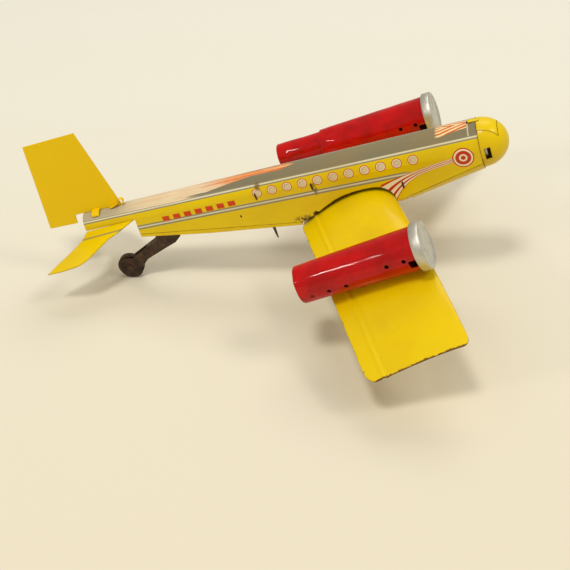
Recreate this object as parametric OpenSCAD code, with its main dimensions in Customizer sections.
// Tinplate toy airliner standing on its wheels and tail wheel.
// +X is the nose, +Y the port side, +Z up; the floor is z = 0.
// The airframe is drawn level in its own axes and then pitched nose-up onto its gear.

/* [Stance] */
// Nose-up angle of the airframe
pitch = 14.7; // [0:0.1:20]
// Height of the airframe axis above the floor
ride_height = 73; // [60:0.5:90]
// Shift that puts the origin under the middle of the length
origin_shift = 9.6; // [0:0.1:20]

/* [Sheet metal] */
// Thickness of the tinplate
sheet = 0.5; // [0.3:0.1:1]
// Gap left at seams between pieces
seam = 0.15; // [0.05:0.05:0.4]
// Clearance of a tab in its slot
slot_gap = 0.2; // [0.1:0.05:0.4]

/* [Fuselage] */
// Rear end of the roof shell
tail_x = -124; // [-150:1:-100]
// Front end of the roof shell
nose_x = 119.2; // [100:0.2:130]
// Half width at the rear end
tail_r = 7; // [5:0.1:12]
// Half width at the front end
nose_r = 12.3; // [8:0.1:20]
// Drop of the roof's centre line at the rear
tail_drop = 1; // [0:0.1:6]
// Length of the nose dome
dome_length = 15.2; // [8:0.1:30]
// Half width of the cockpit panel on the dome
cockpit_half = 7; // [4:0.1:10]

/* [Wing] */
// Chord of the wing
chord = 58.7; // [40:0.1:80]
// Forward sweep, as run over span
sweep = 0.37; // [0:0.01:0.6]
// Half span at the wing tip's rear corner
half_span = 119; // [80:1:160]
// Height of the arch at the root
root_camber = 11.3; // [2:0.1:16]
// Height of the arch at the tip
tip_camber = 1.5; // [0:0.1:8]
// Droop of the tips
tip_droop = 26; // [0:0.5:40]

/* [Nacelles] */
// Distance of each nacelle from the centre line
nacelle_y = 68; // [40:0.5:90]
// Length of the outer tube
nacelle_length = 72; // [50:0.5:100]
// Outer radius at the rear end
nacelle_rear_r = 10.6; // [8:0.1:15]
// Outer radius at the intake end
nacelle_front_r = 11.8; // [8:0.1:15]
// Radius of the vent holes
vent_r = 1.15; // [0.5:0.05:2]
// Outer radius of the intake cap
cap_r = 13.2; // [12:0.1:16]
// Depth of the intake cap
cap_depth = 5.4; // [5:0.1:8]
// How far the cap reaches over the tube
cap_overlap = 4; // [2:0.1:4.2]
// Tilt of the starboard nacelle
tilt_starboard = 9; // [0:0.5:15]
// Tilt of the port nacelle
tilt_port = 5; // [0:0.5:15]
// Outer radius of the sliding exhaust tube
exhaust_r = 8.2; // [6:0.1:9]
// Length of the sliding exhaust tube
exhaust_length = 55; // [40:0.5:65]
// How far the port exhaust stands out at rest
port_extension = 30; // [0:1:35]

/* [Running gear] */
// Radius of the main tyres
wheel_r = 14; // [10:0.5:18]
// Half of the track
half_track = 20.5; // [17:0.5:30]
// Distance of the axle ahead of the airframe origin
axle_x = 58; // [50:0.5:64]
// Radius of the axle
axle_r = 1.25; // [0.8:0.05:2]
// Radial running clearance of shafts in their bores
running = 0.05; // [0.02:0.01:0.1]
// Tail wheel radius
tail_wheel_r = 8.2; // [5:0.1:12]
// Tail wheel centre behind the airframe origin
tail_wheel_x = -97.5; // [-110:0.5:-85]

/* [Friction drive] */
// Module of the gear teeth
gear_module = 0.6; // [0.4:0.05:1]
// Teeth on the axle gear
gear_teeth = 36; // [24:1:48]
// Teeth on the flywheel pinion
pinion_teeth = 9; // [8:1:14]
// Flywheel radius
flywheel_r = 10.5; // [6:0.5:11.5]

/* [Hidden] */
$fn = 64;
belly_rear_x = -91;
arch_rear_x = 9.6;
arch_front_x = 67.8;
root_y = 11;
camber_at_nacelle = 3.9;
body_length = nose_x - tail_x;
roof_tilt = atan(tail_drop / body_length);
gear_r = gear_module * gear_teeth / 2;
pinion_r = gear_module * pinion_teeth / 2;
shaft_distance = gear_r + pinion_r + 0.1;
leg_y = 14;
flywheel_world = [axle_x + 4, wheel_r + sqrt(shaft_distance * shaft_distance - 16)];

// half width of the fuselage at a station
function half_at(x) = tail_r + (nose_r - tail_r) * (x - tail_x) / body_length;
// height of the roof's centre line at a station
function axis_at(x) = -tail_drop * (nose_x - x) / body_length;
// height of the seam between shell and belly
function seam_at(x) = x < 10 ? -12.1 - 0.1215 * (x - belly_rear_x) : -22 + 0.271 * (x - arch_front_x);
// airframe x and z of a point given by its place along the floor and its height
function airframe_point(p) = [p[0] * cos(pitch) + (p[1] - ride_height) * sin(pitch),
    -p[0] * sin(pitch) + (p[1] - ride_height) * cos(pitch)];

// the airframe's own axes, placed above the floor
module airframe() {
    translate([origin_shift, 0, ride_height])
        rotate([0, -pitch, 0])
            children();
}

// floor axes with the same origin
module floor_frame() {
    translate([origin_shift, 0, 0])
        children();
}

// a flat profile drawn in x and z, given a width along y
module across(width) {
    translate([0, width / 2, 0])
        rotate([90, 0, 0])
            linear_extrude(width)
                children();
}

// plan outline of the fuselage between two stations, inset by a margin
module plan(x0, x1, inset, z0, z1) {
    translate([0, 0, z0])
        linear_extrude(z1 - z0)
            polygon([[x0, -half_at(x0) + inset], [x1, -half_at(x1) + inset],
                [x1, half_at(x1) - inset], [x0, half_at(x0) - inset]]);
}

// tapered round roof, inset by a margin
module roof(inset, extra, low = 0) {
    intersection() {
        translate([tail_x - 10, 0, axis_at(tail_x - 10)])
            rotate([0, 90 - roof_tilt, 0])
                cylinder(h = body_length + 20, r1 = half_at(tail_x - 10) - inset,
                    r2 = half_at(nose_x + 10) - inset);
        across(60)
            polygon([[tail_x - extra, axis_at(tail_x - extra) - low],
                [nose_x + extra, axis_at(nose_x + extra) - low],
                [nose_x + extra, 40], [tail_x - extra, 40]]);
    }
}

module shell_walls() {
    intersection() {
        plan(tail_x, nose_x, 0.03, -40, 4);
        across(60)
            polygon([[tail_x, axis_at(tail_x) + 0.2], [tail_x, -2.8], [-90, -1.2], [-90.5, -6],
                [belly_rear_x, seam_at(belly_rear_x)],
                [arch_rear_x, seam_at(9.9)], [arch_front_x, seam_at(arch_front_x)],
                [nose_x, seam_at(nose_x)], [nose_x, axis_at(nose_x) + 0.2]]);
    }
}

module arch_cut() {
    across(60)
        polygon([[9, -32], [arch_rear_x, -24.6], [14, -22.9], [20, -20.3], [26, -16.9], [33, -13.4],
            [39, -11.5], [45.4, -10.4], [52, -9.9], [56.6, -10], [60.4, -10.7], [63.5, -12.6],
            [65.9, -15.2], [67.3, -18.4], [arch_front_x, -22.2], [arch_front_x + 0.2, -32]]);
    translate([19.8, 0, -20.6])
        rotate([90, 0, 0])
            cylinder(h = 60, r = 1.9, center = true);
}

// tailplane: the side sheet bent outward, pointed at the rear
module tailplane() {
    translate([-90, 7.5, -1.4])
        rotate([-13.2, -4, 0])
            linear_extrude(sheet)
                polygon([[0, -0.3], [-5, 3.4], [-10.5, 7.4], [-16.9, 11], [-22.8, 17.2], [-28.7, 23.6],
                    [-34, 26.6], [-38.6, 27.4], [-47, 27.9], [-56.2, 27.4], [-50.6, 21.4], [-45, 16.3],
                    [-39.6, 11], [-36, 6.6], [-34.2, 0.6], [-33.9, -0.3]]);
}

module fin_slots() {
    for (x = [-98.5, -114.5])
        translate([x, 0, 6])
            cube([6 + 2 * slot_gap, 0.8 + 2 * slot_gap, 8], center = true);
}

module brace_slots() {
    for (b = [[-11.6, -1.5], [22.5, -2], [73.4, -12]])
        translate([b[0], 0, b[1]])
            cube([sheet + 2 * slot_gap, 60, 4 + 2 * slot_gap], center = true);
}

module roof_sheet() {
    difference() {
        roof(0, 0);
        roof(sheet, 3, 1.5);
    }
}

module wall_sheets() {
    difference() {
        shell_walls();
        plan(tail_x - 3, nose_x + 3, sheet - 0.03, -60, 4);
    }
}

module fuselage_shell() {
    color([0.88, 0.72, 0.05])
        airframe()
            difference() {
                union() {
                    roof_sheet();
                    wall_sheets();
                    tailplane();
                    mirror([0, 1, 0])
                        tailplane();
                }
                arch_cut();
                fin_slots();
                brace_slots();
                translate([nose_x - 3.4, 0, nose_r])
                    cube([3, 3.4, 4], center = true);
            }
}

// rear belly: a shallow tray whose upturned flanges sit inside the shell
module belly_pan() {
    x0 = belly_rear_x;
    x1 = arch_rear_x - 0.4;
    color([0.86, 0.7, 0.05])
        airframe()
            difference() {
                union() {
                    intersection() {
                        plan(x0, x1, 0, -40, 0);
                        across(60)
                            polygon([[x0, seam_at(x0) - seam], [x1, seam_at(x1) - seam],
                                [x1, seam_at(x1) - 1.9], [-48, -20.3], [x0, -14.2]]);
                    }
                    intersection() {
                        plan(x0, x1, sheet + seam, -40, 0);
                        across(60)
                            polygon([[x0, seam_at(x0) + 2], [x1, seam_at(x1) + 2],
                                [x1, seam_at(x1) - 1.9], [-48, -20.3], [x0, -14.2]]);
                    }
                }
                intersection() {
                    plan(x0 + sheet, x1 + 5, 2 * sheet + seam, -40, 0);
                    across(60)
                        polygon([[x0 + sheet, 0], [x1 + 5, 0], [x1 + 5, seam_at(x1) - 1.9 + sheet],
                            [x1, seam_at(x1) - 1.9 + sheet], [-48, -20.3 + sheet],
                            [x0 + sheet, -14.2 + sheet]]);
                }
                strut_slot();
                translate([-11.6, 0, -24])
                    cube([sheet + 2 * slot_gap, 4.4, 12], center = true);
            }
}

module strut_slot() {
    translate([-77, 0, -17])
        cube([17.4, 6.4, 9], center = true);
}

// trough of the front belly, rounded underneath
module trough(inset) {
    slope = atan(11.4 / 49.8);
    translate([69.2 - 4, 0, -27.4 + 14 - 4 * tan(slope)])
        rotate([0, 90 - slope, 0])
            cylinder(h = 62, r = 14 - inset);
}

module belly_front() {
    x0 = 69.2;
    x1 = nose_x;
    step_x = 76;
    color([0.86, 0.7, 0.05])
        airframe()
            difference() {
                union() {
                    intersection() {
                        trough(0);
                        plan(step_x, x1, 0, -40, 0);
                        across(60)
                            polygon([[step_x, seam_at(step_x) - seam], [x1, seam_at(x1) - seam],
                                [x1, -40], [step_x, -40]]);
                    }
                    intersection() {
                        trough(sheet);
                        plan(x0, step_x + 1, sheet + seam, -40, 0);
                        across(60)
                            polygon([[x0, seam_at(x0) - seam], [step_x + 1, seam_at(step_x + 1) - seam],
                                [step_x + 1, -40], [x0, -40]]);
                    }
                    intersection() {
                        trough(0);
                        plan(step_x, x1 - 4, sheet + seam, -40, 0);
                        across(60)
                            polygon([[step_x, seam_at(step_x) + 2], [x1 - 4, seam_at(x1 - 4) + 2],
                                [x1 - 4, -40], [step_x, -40]]);
                    }
                }
                intersection() {
                    trough(2 * sheet);
                    plan(x0 + sheet, x1 + 5, 2 * sheet + seam, -40, 0);
                }
            }
}

// egg-shaped dome behind the cutting plane, inset by a margin
module egg(inset) {
    intersection() {
        translate([nose_x + seam, 0, -1.8])
            scale([dome_length - inset, nose_r - inset, nose_r + 1.9 - inset])
                sphere(r = 1, $fn = 96);
        translate([nose_x + seam, -30, -30])
            cube([40, 60, 60]);
    }
}

module cockpit_window(margin) {
    translate([nose_x - 2, -cockpit_half - margin, 4])
        cube([12.6 + margin, 2 * (cockpit_half + margin), 20]);
}

// tongues that slide inside the shell's front end
module dome_tongue() {
    y = nose_r - sheet - seam - 0.1;
    translate([nose_x - 5, y - sheet, -5.6])
        cube([6.4, sheet, 5.6]);
    translate([nose_x + 0.3, y - sheet, -5.6])
        cube([1.1, 2 * sheet, 5.6]);
}

module nose_dome() {
    color([0.9, 0.74, 0.05])
        airframe()
            difference() {
                union() {
                    difference() {
                        egg(0);
                        translate([-0.02, 0, 0])
                            egg(sheet);
                    }
                    dome_tongue();
                    mirror([0, 1, 0])
                        dome_tongue();
                }
                cockpit_window(seam);
                translate([nose_x + 2.2, -20, -6.4])
                    cube([3.2, 14, 7]);
            }
}

module cockpit_panel() {
    color([0.9, 0.74, 0.05])
        airframe() {
            difference() {
                intersection() {
                    egg(0);
                    cockpit_window(0);
                }
                translate([-0.02, 0, 0])
                    egg(sheet);
            }
            translate([nose_x - 4.2, -1.5, nose_r + 0.05])
                cube([6, 3, 0.4]);
            translate([nose_x + 0.2, -1.5, nose_r - 0.3])
                cube([1.6, 3, 0.7]);
            translate([nose_x - 4.2, -1.5, nose_r - 2])
                cube([0.5, 3, 2.4]);
        }
}

// arch of the wing sheet along the chord, 0 at the rear edge and 1 at the front
function arch(s) = s < 0.68 ? sin(90 * s / 0.68) : sqrt(max(0, 1 - pow((s - 0.68) / 0.32, 2)));
function crease(s) = 0.5 * exp(-pow((s - 0.16) / 0.018, 2));
function camber_at(y) = y < root_y ? root_camber
    : y < nacelle_y ? root_camber + (camber_at_nacelle - root_camber) * (y - root_y) / (nacelle_y - root_y)
    : camber_at_nacelle + (tip_camber - camber_at_nacelle) * (y - nacelle_y) / (half_span - nacelle_y);
function droop_at(y) = y < root_y ? 0
    : tip_droop * (0.27 * (y - root_y) / 98 + 0.73 * pow((y - root_y) / 98, 2));
function corner(t) = 1 - sqrt(max(0, 1 - t * t));
// rounded outline of the tip
function tip_at(s) = half_span - 8 * s
    - 7 * corner(max(0, (0.1 - s) / 0.1))
    - 5 * corner(max(0, (s - 0.92) / 0.08));
function wing_point(s, v, drop) =
    let (a = abs(v))
    let (y = a <= 0 ? 0 : root_y * min(1, a * 8) + (tip_at(s) - root_y) * max(0, (a - 0.125) / 0.875))
    [4.8 + sweep * max(y, root_y) + chord * s,
        sign(v) * y,
        -28 + 6 * s + arch(s) * camber_at(y) + crease(s) - droop_at(y) - drop];
chord_steps = [0, 0.01, 0.03, 0.06, 0.1, 0.13, 0.145, 0.16, 0.175, 0.19, 0.25, 0.34, 0.43, 0.52, 0.6, 0.68,
    0.75, 0.82, 0.88, 0.92, 0.95, 0.975, 0.99, 1];
span_steps = [-1, -0.97, -0.9, -0.8, -0.7, -0.6, -0.5, -0.38, -0.26, -0.125, 0.125, 0.26, 0.38, 0.5, 0.6,
    0.7, 0.8, 0.9, 0.97, 1];

module wing_sheet() {
    nc = len(chord_steps);
    ns = len(span_steps);
    top = [for (v = span_steps) for (s = chord_steps) wing_point(s, v, 0)];
    low = [for (v = span_steps) for (s = chord_steps) wing_point(s, v, sheet)];
    n = nc * ns;
    polyhedron(points = concat(top, low), convexity = 6, faces = concat(
        [for (j = [0:ns - 2]) for (i = [0:nc - 2])
            [j * nc + i, (j + 1) * nc + i, j * nc + i + 1]],
        [for (j = [0:ns - 2]) for (i = [0:nc - 2])
            [(j + 1) * nc + i, (j + 1) * nc + i + 1, j * nc + i + 1]],
        [for (j = [0:ns - 2]) for (i = [0:nc - 2])
            [n + j * nc + i, n + j * nc + i + 1, n + (j + 1) * nc + i]],
        [for (j = [0:ns - 2]) for (i = [0:nc - 2])
            [n + (j + 1) * nc + i, n + j * nc + i + 1, n + (j + 1) * nc + i + 1]],
        [for (j = [0:ns - 2]) [j * nc, n + j * nc, n + (j + 1) * nc]],
        [for (j = [0:ns - 2]) [j * nc, n + (j + 1) * nc, (j + 1) * nc]],
        [for (j = [0:ns - 2]) [j * nc + nc - 1, n + (j + 1) * nc + nc - 1, n + j * nc + nc - 1]],
        [for (j = [0:ns - 2]) [j * nc + nc - 1, (j + 1) * nc + nc - 1, n + (j + 1) * nc + nc - 1]],
        [for (i = [0:nc - 2]) [i, i + 1, n + i]],
        [for (i = [0:nc - 2]) [i + 1, n + i + 1, n + i]],
        [for (i = [0:nc - 2]) [n - nc + i, 2 * n - nc + i, n - nc + i + 1]],
        [for (i = [0:nc - 2]) [n - nc + i + 1, 2 * n - nc + i, 2 * n - nc + i + 1]]));
}

module gear_tabs(margin) {
    for (x = [44, 58], y = [-6, 6])
        translate([x, y, -13.6])
            cube([4 + 2 * margin, 0.8 + 2 * margin, 7], center = true);
}

// tabs under a nacelle, reaching through the wing
module nacelle_tabs(side, margin) {
    for (x = [50, 70])
        translate([x, side * nacelle_y, x < 60 ? -31 : -30])
            cube([4 + 2 * margin, 0.8 + 2 * margin, x < 60 ? 9 : 7], center = true);
}

module wing() {
    color([0.88, 0.72, 0.05])
        airframe()
            difference() {
                wing_sheet();
                gear_tabs(slot_gap);
                nacelle_tabs(1, slot_gap);
                nacelle_tabs(-1, slot_gap);
            }
}

// a nacelle's own axes: its axis runs forward from the rear end
module nacelle_axes(side) {
    tilt = side > 0 ? tilt_port : tilt_starboard;
    translate([87.4, side * nacelle_y, -14.7])
        rotate([0, -tilt, 0])
            translate([-nacelle_length, 0, 0])
                children();
}

module along(h, r1, r2) {
    rotate([0, 90, 0])
        cylinder(h = h, r1 = r1, r2 = r2);
}

module nacelle(side) {
    l = nacelle_length;
    difference() {
        union() {
            nacelle_axes(side)
                along(l, nacelle_rear_r, nacelle_front_r);
            nacelle_tabs(side, 0);
        }
        nacelle_axes(side) {
            translate([-1, 0, 0])
                along(l + 2, nacelle_rear_r - sheet, nacelle_front_r - sheet);
            for (x = [7, 17, 27])
                translate([x, 0, -2.6])
                    rotate([90, 0, 0])
                        cylinder(h = 40, r = vent_r, center = true, $fn = 24);
            for (x = [52, 61.5])
                translate([x, 0, 1.5])
                    rotate([90, 0, 0])
                        cylinder(h = 40, r = vent_r, center = true, $fn = 24);
            translate([l - 8.6, -20, -4.4])
                cube([12, 12, 5]);
        }
    }
}

module nacelle_starboard() {
    color([0.72, 0.06, 0.07])
        airframe()
            nacelle(-1);
}

module nacelle_port() {
    color([0.72, 0.06, 0.07])
        airframe()
            nacelle(1);
}

// pressed cap over the intake end, with a raised rim round a sunk face
module intake_cap(side) {
    face = cap_overlap + 0.05;
    airframe()
        nacelle_axes(side)
            translate([nacelle_length - cap_overlap, 0, 0])
                difference() {
                    along(cap_depth, cap_r, cap_r);
                    translate([-1, 0, 0])
                        along(face + 1, nacelle_front_r + 0.06, nacelle_front_r + 0.06);
                    translate([face + sheet, 0, 0])
                        along(2, 10.6, 12.6);
                }
}

module intake_cap_starboard() {
    color([0.75, 0.75, 0.74])
        intake_cap(-1);
}

module intake_cap_port() {
    color([0.75, 0.75, 0.74])
        intake_cap(1);
}

// sliding exhaust tube, lying against the top of the nacelle
module exhaust(side, extension) {
    lift = nacelle_rear_r - sheet - exhaust_r - 0.3;
    airframe()
        nacelle_axes(side)
            translate([-extension, 0, lift])
                difference() {
                    along(exhaust_length, exhaust_r, exhaust_r);
                    translate([-1, 0, 0])
                        along(exhaust_length + 2, exhaust_r - sheet, exhaust_r - sheet);
                    for (x = [5.5, 12, 18.5])
                        translate([x, 0, -3.4])
                            rotate([90, 0, 0])
                                cylinder(h = 40, r = 0.9, center = true, $fn = 24);
                }
}

module exhaust_starboard() {
    color([0.7, 0.06, 0.07])
        exhaust(-1, -0.6);
}

module exhaust_port() {
    color([0.7, 0.06, 0.07])
        exhaust(1, port_extension);
}

module tail_fin() {
    color([0.88, 0.7, 0.08])
        airframe()
            across(0.8)
                polygon([[-140.1, 58], [-105.4, 59.3], [-97.6, 6.9], [-95.6, 6.9], [-95.6, 3],
                    [-101.4, 3], [-101.4, 6.75], [-111.6, 6.5], [-111.6, 2.6], [-117.4, 2.6],
                    [-117.4, 6.4], [-129.9, 6.2],
                    [-131.1, 0.2], [-150.2, 0.2]]);
}

// cross braces inside the body, held by tabs through the side walls
module brace(x, tab_z, top, low, inset) {
    translate([x, 0, 0]) {
        translate([-sheet / 2, -half_at(x) + inset, low])
            cube([sheet, 2 * (half_at(x) - inset), top - low]);
        translate([0, 0, tab_z])
            cube([sheet, 2 * half_at(x) + 0.8, 4], center = true);
    }
}

module brace_rear() {
    color([0.35, 0.28, 0.22])
        airframe() {
            brace(-11.6, -1.5, 1.5, -19.6, 1.6);
            translate([-11.6 - sheet / 2, 0, 0])
                rotate([90, 0, 90])
                    linear_extrude(sheet)
                        polygon([[-2, -19], [2, -19], [2, -30], [0.5, -38.2], [-0.5, -38.2], [-2, -30]]);
        }
}

module brace_middle() {
    color([0.35, 0.28, 0.22])
        airframe()
            brace(22.5, -2, 1.5, -15, 0.9);
}

module brace_front() {
    color([0.35, 0.28, 0.22])
        airframe()
            brace(73.4, -12, -4, -17.4, 0.9);
}

// position of the running gear in the floor frame
module at_axle() {
    translate([axle_x, 0, wheel_r])
        children();
}

module at_flywheel() {
    translate([flywheel_world[0], 0, flywheel_world[1]])
        children();
}

module shaft(r, y0, y1) {
    translate([0, y1, 0])
        rotate([90, 0, 0])
            cylinder(h = y1 - y0, r = r);
}

// folded undercarriage frame under the wing
module gear_bracket() {
    axle = [axle_x, wheel_r];
    color([0.36, 0.27, 0.2])
        difference() {
            airframe()
                union() {
                    gear_tabs(0);
                    translate([40, -leg_y, -17.5])
                        cube([22, 2 * leg_y, 0.8]);
                    for (y = [-leg_y + 0.4, leg_y - 0.4])
                        translate([0, y, 0])
                            across(0.8)
                                polygon([[40, -16.7], [62, -16.7],
                                    airframe_point(flywheel_world + [6, 0]),
                                    airframe_point(axle + [4.5, 0]),
                                    airframe_point(axle + [2.5, -4]),
                                    airframe_point(axle + [-2.5, -4]),
                                    airframe_point(axle + [-4.5, 0]),
                                    airframe_point(flywheel_world + [-9, 0])]);
                }
            floor_frame() {
                at_axle()
                    shaft(axle_r + running, -40, 40);
                at_flywheel()
                    shaft(1 + running, -40, 40);
            }
        }
}

module main_axle() {
    color([0.6, 0.6, 0.58])
        floor_frame()
            at_axle()
                shaft(axle_r, -half_track - 4.4, half_track + 4.4);
}

// gear outline with straight-sided teeth, thinned for backlash
module gear_outline(teeth, r, add, ded, phase) {
    step = 360 / teeth;
    tooth = [[-0.36, -ded], [-0.215, -0.1], [-0.11, add], [0.11, add], [0.215, -0.1], [0.36, -ded]];
    polygon([for (i = [0:teeth - 1]) for (q = tooth)
        let (a = (i + q[0]) * step + phase)
        [(r + q[1]) * cos(a), (r + q[1]) * sin(a)]]);
}

// directions that put a tooth of one gear in a gap of the other
mesh_angle = atan2(flywheel_world[1] - wheel_r, flywheel_world[0] - axle_x);
pinion_phase = mesh_angle + 180 + 180 / pinion_teeth;

module drive_gear() {
    color([0.75, 0.62, 0.3])
        floor_frame()
            at_axle()
                translate([0, -7, 0])
                    rotate([90, 0, 0])
                        difference() {
                            union() {
                                linear_extrude(1.6)
                                    gear_outline(gear_teeth, gear_r, 0.45, 0.65, mesh_angle);
                                cylinder(h = 4, r = 3);
                            }
                            translate([0, 0, -1])
                                cylinder(h = 8, r = axle_r + 0.02);
                        }
}

module flywheel_shaft() {
    color([0.62, 0.62, 0.6])
        floor_frame()
            at_flywheel() {
                shaft(1, -leg_y - 0.6, leg_y + 0.6);
                translate([0, -6.6, 0])
                    rotate([90, 0, 0])
                        linear_extrude(2.4)
                            gear_outline(pinion_teeth, pinion_r, 0.45, 0.65, pinion_phase);
            }
}

module flywheel() {
    color([0.45, 0.44, 0.43])
        floor_frame()
            at_flywheel()
                difference() {
                    union() {
                        shaft(flywheel_r, 2, 7);
                        shaft(3, 0, 2.5);
                    }
                    shaft(1.02, -1, 9);
                }
}

// pressed wheel with a hub, web and rim, turned about y
module wheel(side) {
    floor_frame()
        at_axle()
            translate([0, side * half_track, 0])
                rotate([90, 0, 0])
                    rotate_extrude()
                        polygon([[axle_r + 0.02, -3.4], [3, -3.4], [3, -0.6], [wheel_r - 5, -0.6],
                            [wheel_r - 5, -2.6], [wheel_r - 4, -2.6], [wheel_r - 4, 2.6], [wheel_r - 5, 2.6],
                            [wheel_r - 5, 0.6], [3, 0.6], [3, 3.4], [axle_r + 0.02, 3.4]]);
}

module wheel_starboard() {
    color([0.75, 0.1, 0.08])
        wheel(-1);
}

module wheel_port() {
    color([0.75, 0.1, 0.08])
        wheel(1);
}

module tyre(side) {
    floor_frame()
        at_axle()
            translate([0, side * half_track, 0])
                rotate([90, 0, 0])
                    rotate_extrude()
                        polygon([[wheel_r - 3.98, -2.6], [wheel_r - 2.4, -3.1], [wheel_r - 0.8, -2.4],
                            [wheel_r, -1.1], [wheel_r, 1.1], [wheel_r - 0.8, 2.4], [wheel_r - 2.4, 3.1],
                            [wheel_r - 3.98, 2.6]]);
}

module tyre_starboard() {
    color([0.08, 0.08, 0.08])
        tyre(-1);
}

module tyre_port() {
    color([0.08, 0.08, 0.08])
        tyre(1);
}

// tail strut: two cheeks folded from one strip, ending in discs round the wheel
module tail_strut() {
    hub = airframe_point([tail_wheel_x, tail_wheel_r]);
    color([0.33, 0.25, 0.2])
        airframe()
            difference() {
                union() {
                    for (y = [-2.5, 2.5])
                        translate([0, y, 0]) {
                            across(0.8)
                                polygon([[-84.4, -13.8], [-85.4, -21.6], [-95, -26.2], hub + [3.6, 6],
                                    hub + [6.6, -2.4], [-96.6, -34], [-84, -29.2], [-74, -25.6],
                                    [-69.6, -22], [-69.6, -13.8]]);
                            translate([hub[0], 0, hub[1]])
                                rotate([90, 0, 0])
                                    cylinder(h = 0.8, r = 7.2, center = true);
                        }
                    across(5.8)
                        polygon([[-84.4, -13.8], [-85.4, -21.6], [-95, -26.2], [-94.6, -27],
                            [-84.6, -22.2], [-83.6, -13.8]]);
                    translate([-77, 0, -15.2])
                        rotate([0, 8, 0])
                            cube([15, 9, 0.8], center = true);
                }
                translate([hub[0], 0, hub[1]])
                    rotate([90, 0, 0])
                        cylinder(h = 20, r = 1.12, center = true);
            }
}

module tail_wheel() {
    color([0.2, 0.17, 0.15])
        floor_frame()
            translate([tail_wheel_x, 0, tail_wheel_r])
                difference() {
                    shaft(tail_wheel_r, -1.7, 1.7);
                    shaft(1.1 + running, -4, 4);
                }
}

module tail_rivet() {
    color([0.4, 0.34, 0.28])
        floor_frame()
            translate([tail_wheel_x, 0, tail_wheel_r]) {
                shaft(1.1, -3.4, 3.4);
                shaft(2.1, -3.7, -2.95);
                shaft(2.1, 2.95, 3.7);
            }
}

fuselage_shell();
belly_pan();
belly_front();
nose_dome();
cockpit_panel();
wing();
nacelle_starboard();
nacelle_port();
intake_cap_starboard();
intake_cap_port();
exhaust_starboard();
exhaust_port();
tail_fin();
brace_rear();
brace_middle();
brace_front();
gear_bracket();
main_axle();
drive_gear();
flywheel_shaft();
flywheel();
wheel_starboard();
wheel_port();
tyre_starboard();
tyre_port();
tail_strut();
tail_wheel();
tail_rivet();
